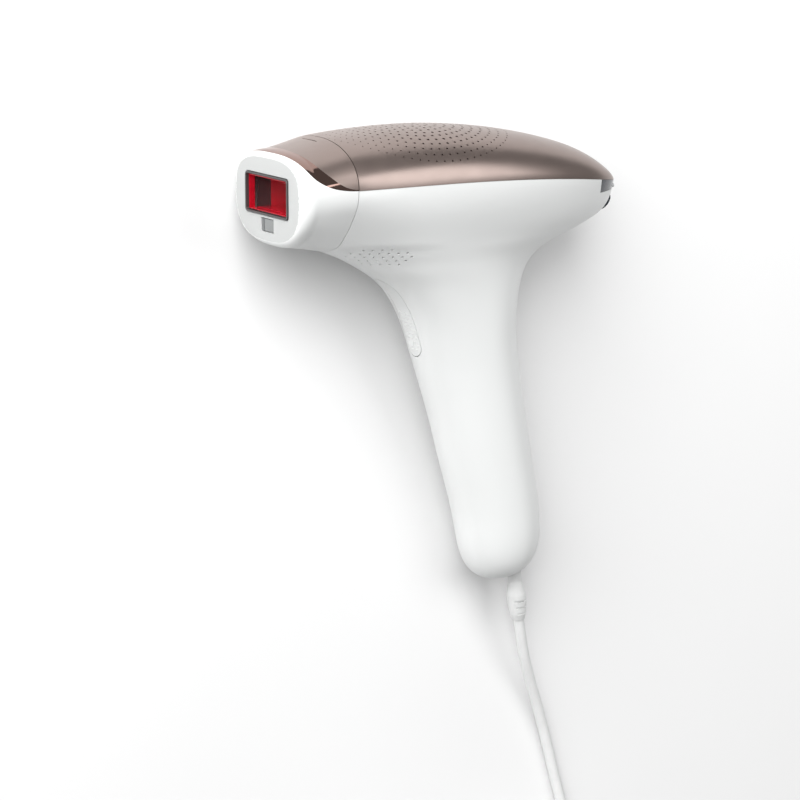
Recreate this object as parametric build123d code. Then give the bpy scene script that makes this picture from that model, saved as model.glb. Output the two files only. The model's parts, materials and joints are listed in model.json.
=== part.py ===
from build123d import *
import math
import os

import numpy as np

# Hand-held flash hair remover, modelled in millimetres.
# Design frame: origin at the centre of the light window, X to the rear along the head,
# Y up towards the cover, Z sideways. place() lays the finished device on its side.

# ---------------------------------------------------------------- driving dimensions
TIP_X = 163.4               # rear tip of the head
SEAM_X = 23.0               # plane where the treatment attachment meets the body
SEAM_TOP = 3.8              # height of the cover seam at the front
SEAM_DROP = 8.6             # how far the seam falls by the rear tip
SEAM_LEVEL_END = 50.0       # the seam is level up to this station
WALL = 2.0                  # white shells
COVER_WALL = 1.8            # top cover
JOINT_GAP = 0.3             # between parts that move apart
SEAM_GAP = 0.1              # between fixed casings

WINDOW_W, WINDOW_H = 34.0, 16.0      # outside of the frame round the light window
GLASS_W, GLASS_H = 31.0, 13.2        # clear light opening, 4.1 square centimetres
FACE_W, FACE_TOP, FACE_BOTTOM = 24.4, 14.4, -17.6
RIM_R = 5.5                          # round from the flat face to the side
# Half width, top and bottom of the attachment: at its flat face, and behind the round.
ATTACHMENT_GROWTH = [(FACE_W, 29.6), (FACE_TOP, 17.0), (FACE_BOTTOM, -20.4)]
BODY_BOTTOM = -24.0                  # lowest point of the body where the attachment meets it
TRIGGER_TOP, TRIGGER_END = -37.9, -71.0
TRIGGER_HALF_W = 5.2
TRIGGER_PIN = (60.6, -40.4)           # pivot of the trigger, which swings in by 4 degrees
FRAME_TRAVEL = 0.8                   # inward travel of the safety frame
PANEL_X, PANEL_Y = 147.6, -7.6       # front and lower edges of the dark rear panel
PANEL_END_Y, PANEL_TONGUE = -21.0, 8.0
FAN_X, FAN_Y, FAN_W, FAN_H = 80.0, 5.0, 36.0, 10.0
BUTTON_R, BUTTON_PROUD, BUTTON_Y = 4.0, 0.9, -13.6
LIGHT_R, LIGHT_Y = 0.8, -6.3
LIGHTS_Z = (-8, -4, 0, 4, 8)
EXIT = (117.2, -167.0, 0.0)          # where the lead's sleeve leaves the handle
LEAD_DIRECTION = (0.12, -0.993, 0.0)
SLEEVE_ROOT_R, SLEEVE_LENGTH = 3.4, 22.8
CORD_D = 4.6
COIL_MID_R, COIL_HALF_W, COIL_H = 25.6, 7.4, 18.6
COIL_CENTRE = (39.4, -243.0)
ADAPTER_SIZE = (60.0, 40.0, 28.0)
ADAPTER_CENTRE = (-47.0, -268.0)
ADAPTER_EXIT = (5.0, -270.5, 14.2)   # where the lead enters the adapter's sleeve
PIN_R, PIN_LENGTH, PIN_SPACING = 2.0, 19.0, 18.6

# Resting place: the device lies on the side of its head and of its handle's end.
REST_TILT = 6.335
REST_SHIFT = (-81.5, 72.157, 32.93)

# Slices of the white body: height, front x, rear x, half width, bluntness of the front.
SLICES = [
    (8.0, -2.0, 163.4, 33.0, 4.5),
    (0.0, -2.0, 163.4, 33.0, 3.9),
    (-6.0, -1.0, 163.2, 32.2, 2.8),
    (-11.0, 1.0, 161.6, 30.8, 2.3),
    (-15.5, 4.5, 158.6, 29.2, 2.0),
    (-19.5, 9.6, 151.8, 27.8, 1.85),
    (-23.0, 20.2, 143.0, 26.6, 1.82),
    (-26.0, 28.2, 134.5, 25.6, 1.9),
    (-29.5, 36.0, 126.8, 24.5, 2.0),
    (-34.0, 44.2, 121.0, 23.4, 2.25),
    (-39.0, 52.0, 117.8, 22.3, 2.5),
    (-46.0, 59.0, 115.4, 21.2, 2.75),
    (-56.0, 64.0, 114.0, 20.2, 2.5),
    (-70.0, 68.0, 114.6, 19.2, 2.1),
    (-95.0, 75.8, 118.3, 18.2, 2.0),
    (-120.0, 82.8, 122.8, 17.5, 2.0),
    (-144.0, 89.2, 126.6, 16.8, 2.0),
    (-154.0, 91.2, 126.4, 16.0, 2.0),
    (-161.0, 93.6, 123.8, 14.2, 2.0),
    (-165.5, 96.6, 119.4, 11.2, 2.0),
    (-168.4, 101.0, 113.6, 6.4, 2.0),
    (-169.6, 106.2, 108.6, 1.2, 2.0),
]
RIDGE = [(0, 14.4), (6, 17.2), (13, 19.6), (23, 21.7), (38, 23.2), (56, 24.0), (72, 23.8),
         (90, 22.4), (109, 19.6), (128.6, 15.0), (143, 9.9), (153, 4.4), (160, -0.9), (163.4, -4.6)]
BODY_ROW_STEP = 75                   # rows of the slice table between two lofted sections
COVER_STATIONS = [SEAM_X, 30, 38, 47, 57, 68, 79, 90, 101, 111, 120, 128, 135, 141, 146.5, 151,
                  154.5, 157.6, 160.3, 161.8, TIP_X - 0.8]
# Side view of the two lines that bound the bright trim on the attachment.
WHITE_LINE = [(24.0, 3.7), (19.3, 3.9), (15.1, 4.5), (11.1, 5.7), (7.5, 7.7), (4.9, 10.1),
              (3.2, 13.2), (2.2, 16.0), (1.8, 22.0)]
TRIM_LINE = [(24.0, 4.1), (21.3, 4.4), (18.6, 5.1), (15.3, 6.9), (12.1, 9.7), (9.5, 12.6),
             (7.9, 15.5), (6.6, 17.6), (5.8, 22.0)]


# ---------------------------------------------------------------- outline formulas
def smooth_table(points, steps=3001):
    """Rows of numbers joined by a natural cubic spline over the distance between them."""
    rows = np.array(points, float)
    along = np.concatenate([[0], np.cumsum(np.linalg.norm(np.diff(rows[:, :4], axis=0), axis=1))])
    gap = np.diff(along)[:, None]
    count = len(rows)
    matrix = np.eye(count)
    right = np.zeros_like(rows)
    slope = np.diff(rows, axis=0) / gap
    for i in range(1, count - 1):
        matrix[i, i - 1:i + 2] = gap[i - 1, 0], 2 * (gap[i - 1, 0] + gap[i, 0]), gap[i, 0]
        right[i] = 6 * (slope[i] - slope[i - 1])
    bend = np.linalg.solve(matrix, right)
    at = np.linspace(0, along[-1], steps)
    k = np.clip(np.searchsorted(along, at) - 1, 0, count - 2)
    before, after, span = (along[k + 1] - at)[:, None], (at - along[k])[:, None], gap[k]
    curve = (bend[k] * before**3 + bend[k + 1] * after**3) / (6 * span)
    curve += (rows[k] / span - bend[k] * span / 6) * before
    return curve + (rows[k + 1] / span - bend[k + 1] * span / 6) * after


SLICE_TABLE = smooth_table(SLICES)[::-1]
RIDGE_TABLE = smooth_table(RIDGE)


def slice_at(y):
    """Front x, rear x, half width, front exponent and widest station of the slice at y."""
    front, rear, width, blunt = (float(np.interp(y, SLICE_TABLE[:, 0], SLICE_TABLE[:, k]))
                                 for k in (1, 2, 3, 4))
    rise = min(max((y + 60) / 40, 0), 1)
    share = 0.56 - 0.175 * rise * rise * (3 - 2 * rise)
    return front, rear, width, blunt, front + (rear - front) * share


def ridge_y(x):
    """Height of the cover's ridge at x."""
    return float(np.interp(x, RIDGE_TABLE[:, 0], RIDGE_TABLE[:, 1]))


def half_width(x, y):
    front, rear, width, blunt, mid = slice_at(y)
    reach = mid - front if x < mid else rear - mid
    power = blunt if x < mid else 2.0
    return width * (1 - min(abs(x - mid) / reach, 1) ** power) ** (1 / power)


def seam_y(x):
    fall = max(0.0, x - SEAM_LEVEL_END) / (TIP_X - SEAM_LEVEL_END + 1.6)
    return SEAM_TOP - SEAM_DROP * fall**2.4


def superellipse(angle, a, b, power):
    """Point at angle on |x/a|^p + |y/b|^p = 1."""
    c, s = math.cos(angle), math.sin(angle)
    return (math.copysign(abs(c) ** (2 / power), c) * a, math.copysign(abs(s) ** (2 / power), s) * b)


def evenly(points, count):
    """The same outline with count points at equal distances."""
    points = np.array(points, float)
    along = np.concatenate([[0], np.cumsum(np.linalg.norm(np.diff(points, axis=0), axis=1))])
    at = np.linspace(0, along[-1], count)
    return [Vector(*(np.interp(t, along, points[:, k]) for k in range(3))) for t in at]


def spline(points, start, end):
    """Curve through evenly spaced points with the given end directions."""
    steps = [i / (len(points) - 1) for i in range(len(points))]
    length = sum((b - a).length for a, b in zip(points, points[1:]))
    ends = [Vector(*start) * length, Vector(*end) * length]
    return Edge.make_spline(points, ends, parameters=steps, scale=False)


# ---------------------------------------------------------------- lofted blanks
def body_half(inset=0.0, lowest=-170.0):
    """The body's +Z half as a solid block, its skin pulled in by inset."""
    wires = []
    heights = [y for y in SLICE_TABLE[::-BODY_ROW_STEP, 0] if y > lowest]
    for y in heights:
        front, rear, width, blunt, mid = slice_at(y)
        lean = [abs(a - b) for a, b in zip(slice_at(y - 0.5), slice_at(y + 0.5))] if inset else [0, 0]
        front += inset * math.hypot(1, lean[0])
        rear -= inset * math.hypot(1, lean[1])
        outline = []
        for angle in np.linspace(0, math.pi, 361):
            reach = mid - front if angle < math.pi / 2 else rear - mid
            power = blunt if angle < math.pi / 2 else 2.0
            x, z = superellipse(angle, reach, width - inset, power)
            outline.append((mid - x, y, z))
        points = evenly(outline, 33)
        curve = spline(points, (0, 0, 1), (0, 0, -1))
        wires.append(Wire([curve, Edge.make_line(points[-1], points[0])]))
    return Solid.make_loft(wires)


def cover_blank(inset=0.0, last=TIP_X - 0.8):
    """The top cover as a solid block from the attachment seam to the rear."""
    wires = []
    for x in [s for s in COVER_STATIONS if s <= last]:
        low = seam_y(x)
        width = half_width(x, low) - inset
        height = ridge_y(x) - low - inset
        outline = []
        for angle in np.linspace(0, math.pi, 361):
            z, y = superellipse(angle, width, height, 2.2)
            outline.append((x, low + y, z))
        points = evenly(outline, 33)
        corners = [points[-1], points[0]]
        if inset:
            corners = [points[-1], points[-1] - Vector(0, 1, 0), points[0] - Vector(0, 1, 0), points[0]]
        sides = [Edge.make_line(a, b) for a, b in zip(corners, corners[1:])]
        wires.append(Wire([spline(points, (0, 1, 0), (0, -1, 0)), *sides]))
    return Solid.make_loft(wires)


def attachment_section(x, inset=0.0):
    """Closed outline of the attachment at station x."""
    deep = max(x - inset, 0.0)
    rim = math.sqrt(1 - (1 - min(deep / RIM_R, 1)) ** 2)
    flare = min(deep / SEAM_X, 1) ** 1.3
    blunt = max(1 - deep / 7, 0)
    side, top, bottom = (face + (shoulder - face) * rim for face, shoulder in ATTACHMENT_GROWTH)
    top += (ridge_y(SEAM_X) - top) * flare
    bottom += (BODY_BOTTOM - bottom) * flare
    centre = SEAM_TOP * min(x / SEAM_X, 1) ** 0.5
    outline = []
    for angle in np.linspace(-math.pi / 2, math.pi / 2, 361):
        power = (2.2 + 0.8 * blunt) if angle > 0 else (2.05 + 0.75 * blunt)
        across, up = superellipse(angle, 1, 1, power)
        body_y = SEAM_TOP + min(up, 0) * (SEAM_TOP - BODY_BOTTOM)
        body_z = half_width(SEAM_X, body_y) * (across if up > 0 else 1)
        z = side * across + (body_z - side * across) * flare
        y = up * (top - centre if up > 0 else centre - bottom)
        shrink = 1 - inset / np.hypot(z, y)
        outline.append((x, centre + y * shrink, z * shrink))
    right = evenly(outline, 33)
    left = [Vector(p.X, p.Y, -p.Z) for p in reversed(right)]
    return Wire([spline(right, (0, 0, 1), (0, 0, -1)), spline(left, (0, 0, -1), (0, 0, 1))])


def attachment_blank(inset=0.0, back=SEAM_X - JOINT_GAP / 2):
    depths = (0, 0.2, 0.8, 1.7, 2.9, 4.2, 5.5, 7, 9, 11, 13, 15, 17, 19, 21)
    stations = [d + inset for d in depths if d + inset < back - 1]
    return Solid.make_loft([attachment_section(s, inset) for s in (*stations, back)])


# ---------------------------------------------------------------- simple blanks
def side_prism(line, far, half_depth=45.0):
    """Prism through the whole width between a line in side view and the far corners."""
    corners = [line[-1], *far, line[0]]
    edges = [Edge.make_line(Vector(*a), Vector(*b)) for a, b in zip(corners, corners[1:])]
    edges.append(Edge.make_spline([Vector(*p) for p in line]))
    return extrude(Face(Wire(edges)), half_depth, dir=(0, 0, 1), both=True)


def box(low, high):
    """Block between two corners."""
    centre = [(a + b) / 2 for a, b in zip(low, high)]
    return Pos(*centre) * Box(*[b - a for a, b in zip(low, high)])


def rod(start, end, radius):
    """Round bar between two points."""
    middle = (Vector(*start) + Vector(*end)) / 2
    along = Vector(*end) - Vector(*start)
    return Plane(middle, z_dir=along) * Cylinder(radius, along.length)


def window_block(width, height, x0, x1, radius):
    """Rounded rectangular block that faces along X."""
    return extrude(Plane.YZ.offset(x0) * RectangleRounded(height, width, radius), x1 - x0)


def both_sides(half):
    return half + mirror(half, Plane.XY)


# ---------------------------------------------------------------- casings
SEAM_STATIONS = (-12, 10, 30, 50, 75, 95, 112, 127, 140, 152, TIP_X, 175)
SCREW_PLACES = [(57, 12), (57, -12), (124, 9), (124, -9)]
POST_TOP, BOARD_Y = -10.4, -7.6      # top of the screw posts, underside of the main board


def above_seam():
    line = [(x, seam_y(x) - SEAM_GAP) for x in SEAM_STATIONS]
    return side_prism(line, [(175, 60), (-12, 60)])


def trigger_slot(clearance):
    """Prism along X through the trigger's outline."""
    half = TRIGGER_HALF_W + clearance
    length = TRIGGER_TOP - TRIGGER_END + 2 * clearance
    outline = SlotOverall(length, 2 * half)
    return extrude(Plane.YZ.offset(36) * Pos((TRIGGER_TOP + TRIGGER_END) / 2, 0) * outline, 46)


def panel_prism(clearance):
    """Region of the dark panel: a band under the seam round the tip, with a tongue below."""
    band = box((PANEL_X - clearance, PANEL_Y - clearance, -40), (180, 10, 40))
    half = PANEL_TONGUE + clearance
    return band + box((130, PANEL_END_Y - clearance, -half), (180, PANEL_Y, half))


def right_body_shell():
    outer = body_half()
    skin = outer - body_half(WALL, lowest=-167.0)
    skin -= box((-20, -60, -45), (SEAM_X + JOINT_GAP / 2, 60, 45))
    skin -= above_seam()
    skin -= trigger_slot(0.35)
    skin -= panel_prism(SEAM_GAP)
    skin -= along_sleeve(SLEEVE_ROOT_R + 0.1, -16, 8)
    for x, z in SCREW_PLACES[::2]:
        post = rod((x, -60, z), (x, POST_TOP, z), 3.2) & outer
        skin += post - rod((x, -17, z), (x, -9, z), 1.3)
    return skin


def top_cover():
    cover = cover_blank() - cover_blank(COVER_WALL, last=157.6)
    return cover - box((-20, -60, -45), (SEAM_X + JOINT_GAP / 2, 60, 45))


def rear_panel():
    skin = (body_half() - body_half(WALL, lowest=-167.0)) & panel_prism(0)
    panel = both_sides(skin - above_seam())
    panel -= power_button(BUTTON_R + 0.3, -9, 3)
    for pipe in light_pipes(LIGHT_R + 0.05):
        panel -= pipe
    return panel


# ---------------------------------------------------------------- attachment
def attachment_skin():
    return attachment_blank() - attachment_blank(WALL, SEAM_X + 1)


def attachment_shell(skin, above_white):
    shell = skin - above_white
    shell -= window_block(WINDOW_W + 0.6, WINDOW_H + 0.6, -1, 4, 1.6)
    return shell - box((-1, -14.7, -5.2), (4, -9.1, 5.2))


def attachment_back_plate():
    """Plate that closes the attachment's back, with its two snap hooks."""
    plate = extrude(Face(attachment_section(20.4, WALL + 0.6)), 2.2, dir=(1, 0, 0))
    plate -= window_block(GLASS_W + 2.2, GLASS_H + 2.2, 18, 24, 0.5)
    for side in (-1, 1):
        plate += box((21, -3, side * 25.2 - 0.8), (28.2, 3, side * 25.2 + 0.8))
        plate += box((26.6, -3, side * 26.3 - 0.5), (28.2, 3, side * 26.3 + 0.5))
    return plate


def attachment_light_tube():
    outer = window_block(GLASS_W + 2, GLASS_H + 2, 4.5, 22.6, 0.6)
    return outer - window_block(GLASS_W, GLASS_H, 3, 24, 0.3)


def safety_frame():
    frame = window_block(WINDOW_W, WINDOW_H, -0.6, 1.4, 1.4)
    return frame - window_block(GLASS_W, GLASS_H, -2, 3, 0.8)


def safety_frame_spring():
    """Wave-spring ring that the safety frame is pressed against."""
    ring = window_block(WINDOW_W - 0.4, WINDOW_H - 0.4, 1.4 + FRAME_TRAVEL + 0.3, 3.1, 1.2)
    return ring - window_block(GLASS_W + 0.6, GLASS_H + 0.4, 0, 5, 0.8)


# ---------------------------------------------------------------- lamp unit
def front_bulkhead():
    """Front wall of the body, behind the attachment, with slots for the snap hooks."""
    plate = extrude(Face(attachment_section(SEAM_X, WALL + 0.8)), 2.0, dir=(1, 0, 0))
    plate = Pos(0.4, 0, 0) * plate - window_block(GLASS_W + 1, GLASS_H + 1, 20, 30, 0.5)
    for side in (-1, 1):
        plate -= box((20, -3.4, side * 26 - 1.9), (30, 3.4, side * 26 + 1.9))
    return plate


def lamp_housing():
    return box((27.3, -11.5, -23), (52, 11.5, 23)) - box((26, -10, -21.5), (50.5, 10, 21.5))


def lamp_reflector():
    """Polished trough round the lamp, open to the front."""
    heights = range(-9, 10, 3)
    inside = [Vector(47.0 - 0.13 * y * y, y) for y in heights]
    outside = [Vector(p.X + 0.8, p.Y * 1.08) for p in reversed(inside)]
    edges = [Edge.make_spline(inside), Edge.make_spline(outside)]
    edges += [Edge.make_line(inside[-1], outside[0]), Edge.make_line(outside[-1], inside[0])]
    return extrude(Face(Wire(edges)), 17, dir=(0, 0, 1), both=True)


def flash_lamp():
    tube = rod((41.5, 0, -18), (41.5, 0, 18), 2.6)
    return tube + rod((41.5, 0, -20.5), (41.5, 0, 20.5), 1.6)


# ---------------------------------------------------------------- cooling fan
def fan_frame():
    half = FAN_W / 2
    frame = box((FAN_X - half, FAN_Y, -half), (FAN_X + half, FAN_Y + FAN_H, half))
    frame -= rod((FAN_X, FAN_Y - 1, 0), (FAN_X, FAN_Y + FAN_H + 1, 0), 16.6)
    spider = box((FAN_X - 17.2, FAN_Y, -1.2), (FAN_X + 17.2, FAN_Y + 1.4, 1.2))
    spider += box((FAN_X - 1.2, FAN_Y, -17.2), (FAN_X + 1.2, FAN_Y + 1.4, 17.2))
    return frame + spider + rod((FAN_X, FAN_Y, 0), (FAN_X, FAN_Y + 1.4, 0), 7.5)


def fan_motor():
    base = rod((FAN_X, FAN_Y + 1.4, 0), (FAN_X, FAN_Y + 5.0, 0), 5.5)
    return base + rod((FAN_X, FAN_Y + 1.4, 0), (FAN_X, FAN_Y + 8.0, 0), 1.0)


def fan_rotor():
    low, high = FAN_Y + 1.9, FAN_Y + 9.4
    hub = rod((FAN_X, low, 0), (FAN_X, high, 0), 7.6)
    hub -= rod((FAN_X, low - 1, 0), (FAN_X, high - 1.4, 0), 6.4)
    hub += rod((FAN_X, high - 3.9, 0), (FAN_X, high - 0.4, 0), 2.2)
    hub -= rod((FAN_X, low - 1, 0), (FAN_X, high - 1.0, 0), 1.04)
    for k in range(7):
        turn = Pos(FAN_X, (low + high) / 2, 0) * Rot(0, k * 360 / 7, 0)
        hub += turn * Pos(11.4, 0, 0) * Rot(35, 0, 0) * Box(8.8, 0.9, 7.6)
    return hub


# ---------------------------------------------------------------- chassis and electronics
def chassis():
    """Carrier plate on the shells' posts, with rails for the board and legs for the fan."""
    plate = box((52, POST_TOP, -18), (136, POST_TOP + 1.4, 18)) - box((68, -11, -10), (98, -8, 10))
    plate += box((52, POST_TOP, -18), (53.5, 11, 18))
    for side in (-1, 1):
        plate += box((62, POST_TOP + 1, side * 14 - 1.5), (130, BOARD_Y, side * 14 + 1.5))
        for x in (63, 94):
            plate += box((x, POST_TOP + 1, side * 17.2 - 0.8), (x + 3, FAN_Y, side * 17.2 + 0.8))
    for x, z in SCREW_PLACES:
        plate -= rod((x, -12, z), (x, -7, z), 1.5)
    return plate


def chassis_screws():
    screws = []
    for x, z in SCREW_PLACES:
        seat = POST_TOP + 1.4
        shank = rod((x, -15.5, z), (x, seat, z), 1.25)
        head = rod((x, seat, z), (x, seat + 1.6, z), 2.4)
        screws.append(shank + head - box((x - 1.8, seat + 0.9, z - 0.3), (x + 1.8, seat + 2, z + 0.3)))
    return screws


def main_board():
    board = box((61.5, BOARD_Y, -16), (134, BOARD_Y + 1.6, 16))
    for z in (9, -9):
        board -= rod((124, -9, z), (124, 0, z), 2.8)
    return board


def heatsink():
    block = box((100, -6.0, -7), (119, -4.0, 13))
    for k in range(5):
        z = -6.4 + k * 4.7
        block += box((100, -4.2, z - 0.6), (119, 5.0, z + 0.6))
    return block


def transformer():
    core = box((80, -6, -9), (96, 3.5, 9)) - box((79, -3.6, -5.4), (97, 1.4, 5.4))
    return core + box((81.5, -4.6, -6.2), (94.5, 2.4, 6.2))


def capacitor(radius):
    return rod((93.5, -74, 0), (104.5, -126, 0), radius)


def capacitor_cradle():
    """Two ribs across the handle, joined by rails, that hold the capacitor."""
    inside = both_sides(body_half(WALL + 0.15, lowest=-167.0))
    ribs = inside & box((60, -86, -30), (130, -84, 30))
    ribs += inside & box((60, -116, -30), (130, -114, 30))
    for side in (-1, 1):
        ribs += box((94, -115, side * 12.8 - 0.9), (100, -85, side * 12.8 + 0.9))
    return ribs - capacitor(11.05)


def lead_clamp():
    """Block that grips the lead's sleeve inside the handle's end."""
    block = both_sides(body_half(WALL + 0.15, lowest=-163.0)) & box((90, -160, -30), (130, -152, 30))
    return block - along_sleeve(SLEEVE_ROOT_R, -25, 0)


# ---------------------------------------------------------------- trigger, button, lights
def trigger():
    skin = (body_half() - body_half(2.4, lowest=-167.0)) & trigger_slot(0)
    inside = body_half(1.5, lowest=-167.0)
    lever = both_sides(skin + (inside & box((54, -43.4, -1), (63, -38.3, 2.6))))
    lever += box((66.4, -66.5, -1.5), (72.6, -63.5, 1.5))
    return lever - rod((*TRIGGER_PIN, -5), (*TRIGGER_PIN, 5), 1.04)


def trigger_yoke():
    """Cross-member of the handle with two ears that carry the trigger's pin."""
    bar = box((64.6, -44, -30), (67, -37.4, 30))
    for side in (-1, 1):
        bar += box((57.5, -44, side * 4.7 - 1.1), (66, -37.4, side * 4.7 + 1.1))
        bar += box((66, -44, side * 7.1 - 0.9), (81, -41, side * 7.1 + 0.9))
    bar &= both_sides(body_half(3.3, lowest=-167.0))
    return bar - rod((*TRIGGER_PIN, -8), (*TRIGGER_PIN, 8), 1.0)


def trigger_spring():
    """Leaf spring from the cross-member to the back of the trigger."""
    front = [Vector(67.0, -40), Vector(69.6, -46), Vector(70.6, -52), Vector(72.0, -59)]
    back = [p + Vector(0.4, 0, 0) for p in reversed(front)]
    edges = [Edge.make_spline(front), Edge.make_spline(back)]
    edges += [Edge.make_line(front[-1], back[0]), Edge.make_line(back[-1], front[0])]
    return extrude(Face(Wire(edges)), 2, dir=(0, 0, 1), both=True)


def button_axis():
    """Centre of the power button on the panel's skin, and its outward direction."""
    rear = slice_at(BUTTON_Y)[1]
    lean = slice_at(BUTTON_Y + 0.5)[1] - slice_at(BUTTON_Y - 0.5)[1]
    return Vector(rear, BUTTON_Y, 0), Vector(1, -lean, 0).normalized()


def power_button(radius, low, high):
    centre, out = button_axis()
    return rod(centre + out * low, centre + out * high, radius)


def light_pipes(radius):
    """Row of five intensity lights across the panel, back to the button's board."""
    front, rear, width, blunt, mid = slice_at(LIGHT_Y)
    ends = [mid + (rear - mid) * math.sqrt(1 - (z / width) ** 2) for z in LIGHTS_Z]
    return [rod((147.9, LIGHT_Y, z), (x + 0.1, LIGHT_Y, z), radius) for x, z in zip(ends, LIGHTS_Z)]


# ---------------------------------------------------------------- lead and adapter
# The lead's free route in the resting frame, from the sleeve into the coil.
LEAD_ROUTE = [
    (41.0, -130.5, 9.7),
    (45.9, -144.5, 6.7),
    (51.0, -158.5, 4.2),
    (55.0, -172.5, 2.8),
    (58.2, -187.5, 2.4),
    (61.6, -202.5, 2.4),
    (65.2, -217.2, 2.4),
    (68.4, -230.8, 2.5),
    (69.5, -241.0, 2.4),
]
# From the coil to the adapter.
TAIL_ROUTE = [(39.4, -270.8, 15.7), (28.0, -271.5, 15.9), (16.5, -271.3, 15.4), ADAPTER_EXIT]


def along_sleeve(radius, low, high):
    """Round bar on the axis of the lead's sleeve, between two heights from its exit."""
    out = Vector(*LEAD_DIRECTION).normalized()
    return rod(Vector(*EXIT) + out * low, Vector(*EXIT) + out * high, radius)


def strain_relief():
    """Slotted sleeve on the handle's end, along the lead."""
    profile = [(0, -12), (3.4, -12), (3.4, 0), (3.0, 1.0), (3.0, 5.5), (4.1, 11.5), (4.1, 14.5),
               (3.5, 20), (2.6, SLEEVE_LENGTH), (0, SLEEVE_LENGTH)]
    edges = Wire.make_polygon([Vector(r, 0, h) for r, h in profile])
    sleeve = revolve(Face(edges), Axis.Z, 360)
    for h in (14.0, 16.8, 19.6):
        for side in (-1, 1):
            sleeve -= Pos(side * 3.9, 0, h) * Box(2.2, 9, 1.0)
    return Plane(EXIT, x_dir=(0, 0, 1), z_dir=LEAD_DIRECTION) * sleeve


def tube(points, label):
    """Round lead along straight runs joined by arcs; prints the arcs' radii."""
    route = [Vector(*p) for p in points]
    radii = []
    for a, b, c in zip(route, route[1:], route[2:]):
        run = min((b - a).length, (c - b).length)
        radii.append(0.45 * run / math.tan(math.radians((b - a).get_angle(c - b)) / 2))
    path = FilletPolyline(*route, radius=radii)
    section = Plane(route[0], z_dir=route[1] - route[0]) * Circle(CORD_D / 2)
    solid = sweep(section, path=path)
    ratio = solid.volume / (math.pi * (CORD_D / 2) ** 2 * path.length)
    print(label, "length", round(path.length, 1), "radii", [round(r) for r in radii])
    print(label, "volume against section times length", round(ratio, 3))
    return solid


def cord_coil():
    ring = Cylinder(COIL_MID_R + COIL_HALF_W, COIL_H) - Cylinder(COIL_MID_R - COIL_HALF_W, COIL_H + 2)
    return Pos(*COIL_CENTRE, COIL_H / 2) * ring


def coil_tie():
    """Strap round the wound lead."""
    wide, high = 2 * COIL_HALF_W + 1.0, COIL_H + 0.1
    strap = Pos(0, 0, 0.9) * Box(wide + 1.8, 7, high + 1.8) - Box(wide, 9, high)
    strap &= Pos(0, 0, 2) * Box(40, 40, high + 3.9)
    return Pos(*COIL_CENTRE, COIL_H / 2) * Rot(0, 0, 150) * Pos(COIL_MID_R, 0, 0) * strap


def adapter_body():
    x, y = ADAPTER_CENTRE
    return Pos(x, y, ADAPTER_SIZE[2] / 2) * fillet(Box(*ADAPTER_SIZE).edges(), 5)


def adapter_relief():
    x, y, z = ADAPTER_EXIT
    base = ADAPTER_CENTRE[0] + ADAPTER_SIZE[0] / 2
    return Plane(((base + x) / 2, y, z), z_dir=(1, 0, 0)) * Cone(4.2, 2.7, x - base)


def adapter_pins():
    x, y = ADAPTER_CENTRE
    front = y - ADAPTER_SIZE[1] / 2
    ends = [x + side * PIN_SPACING / 2 for side in (-1, 1)]
    height = ADAPTER_SIZE[2] / 2
    return [rod((e, front, height), (e, front - PIN_LENGTH, height), PIN_R) for e in ends]


# ---------------------------------------------------------------- assembly
REST = Pos(*REST_SHIFT) * Rot(REST_TILT, 0, 0)


def device_pieces():
    """Every piece of the device by name, in the design frame."""
    skin = attachment_skin()
    above_white = side_prism(WHITE_LINE, [(60, 40), (60, 3.7)])
    above_trim = side_prism(TRIM_LINE, [(60, 40), (60, 4.1)])
    right_shell = right_body_shell()
    return {
        "right_body_shell": right_shell,
        "left_body_shell": mirror(right_shell, Plane.XY),
        "top_cover": top_cover(),
        "rear_panel": rear_panel(),
        "attachment_shell": attachment_shell(skin, above_white),
        "attachment_trim": (skin & above_white) - above_trim,
        "attachment_cover": skin & above_trim,
        "attachment_back_plate": attachment_back_plate(),
        "attachment_light_tube": attachment_light_tube(),
        "attachment_filter_glass": window_block(GLASS_W + 2, GLASS_H + 2, 3.2, 4.4, 0.6),
        "safety_frame": safety_frame(),
        "safety_frame_spring": safety_frame_spring(),
        "skin_tone_sensor": box((0.4, -14.5, -5.0), (3.4, -9.3, 5.0)),
        "front_bulkhead": front_bulkhead(),
        "uv_filter_glass": box((25.6, -8.6, -18), (27.1, 8.6, 18)),
        "lamp_housing": lamp_housing(),
        "lamp_reflector": lamp_reflector(),
        "flash_lamp": flash_lamp(),
        "fan_frame": fan_frame(),
        "fan_motor": fan_motor(),
        "fan_rotor": fan_rotor(),
        "chassis": chassis(),
        "chassis_screws": chassis_screws(),
        "main_board": main_board(),
        "heatsink": heatsink(),
        "transformer": transformer(),
        "lamp_ignition_coil": rod((62, -1.6, 0), (76, -1.6, 0), 4.3),
        "flash_capacitor": capacitor(11.0),
        "capacitor_cradle": capacitor_cradle(),
        "lead_clamp": lead_clamp(),
        "trigger": trigger(),
        "trigger_pin": rod((*TRIGGER_PIN, -5.8), (*TRIGGER_PIN, 5.8), 1.0),
        "trigger_yoke": trigger_yoke(),
        "trigger_spring": trigger_spring(),
        "flash_switch": box((75.4, -68, -4), (81, -61, 4)),
        "switch_board": box((81, -70, -8), (82.2, -38, 8)),
        "power_button": power_button(BUTTON_R, -4.0, BUTTON_PROUD),
        "power_switch": box((147.8, -12.6, -3), (152.4, -8.4, 3)) + power_button(1.5, -9.6, -5.2),
        "button_board": box((146.6, -15, -9), (147.8, -3.2, 9)),
        "intensity_lights": light_pipes(LIGHT_R),
        "strain_relief": strain_relief(),
    }


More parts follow.
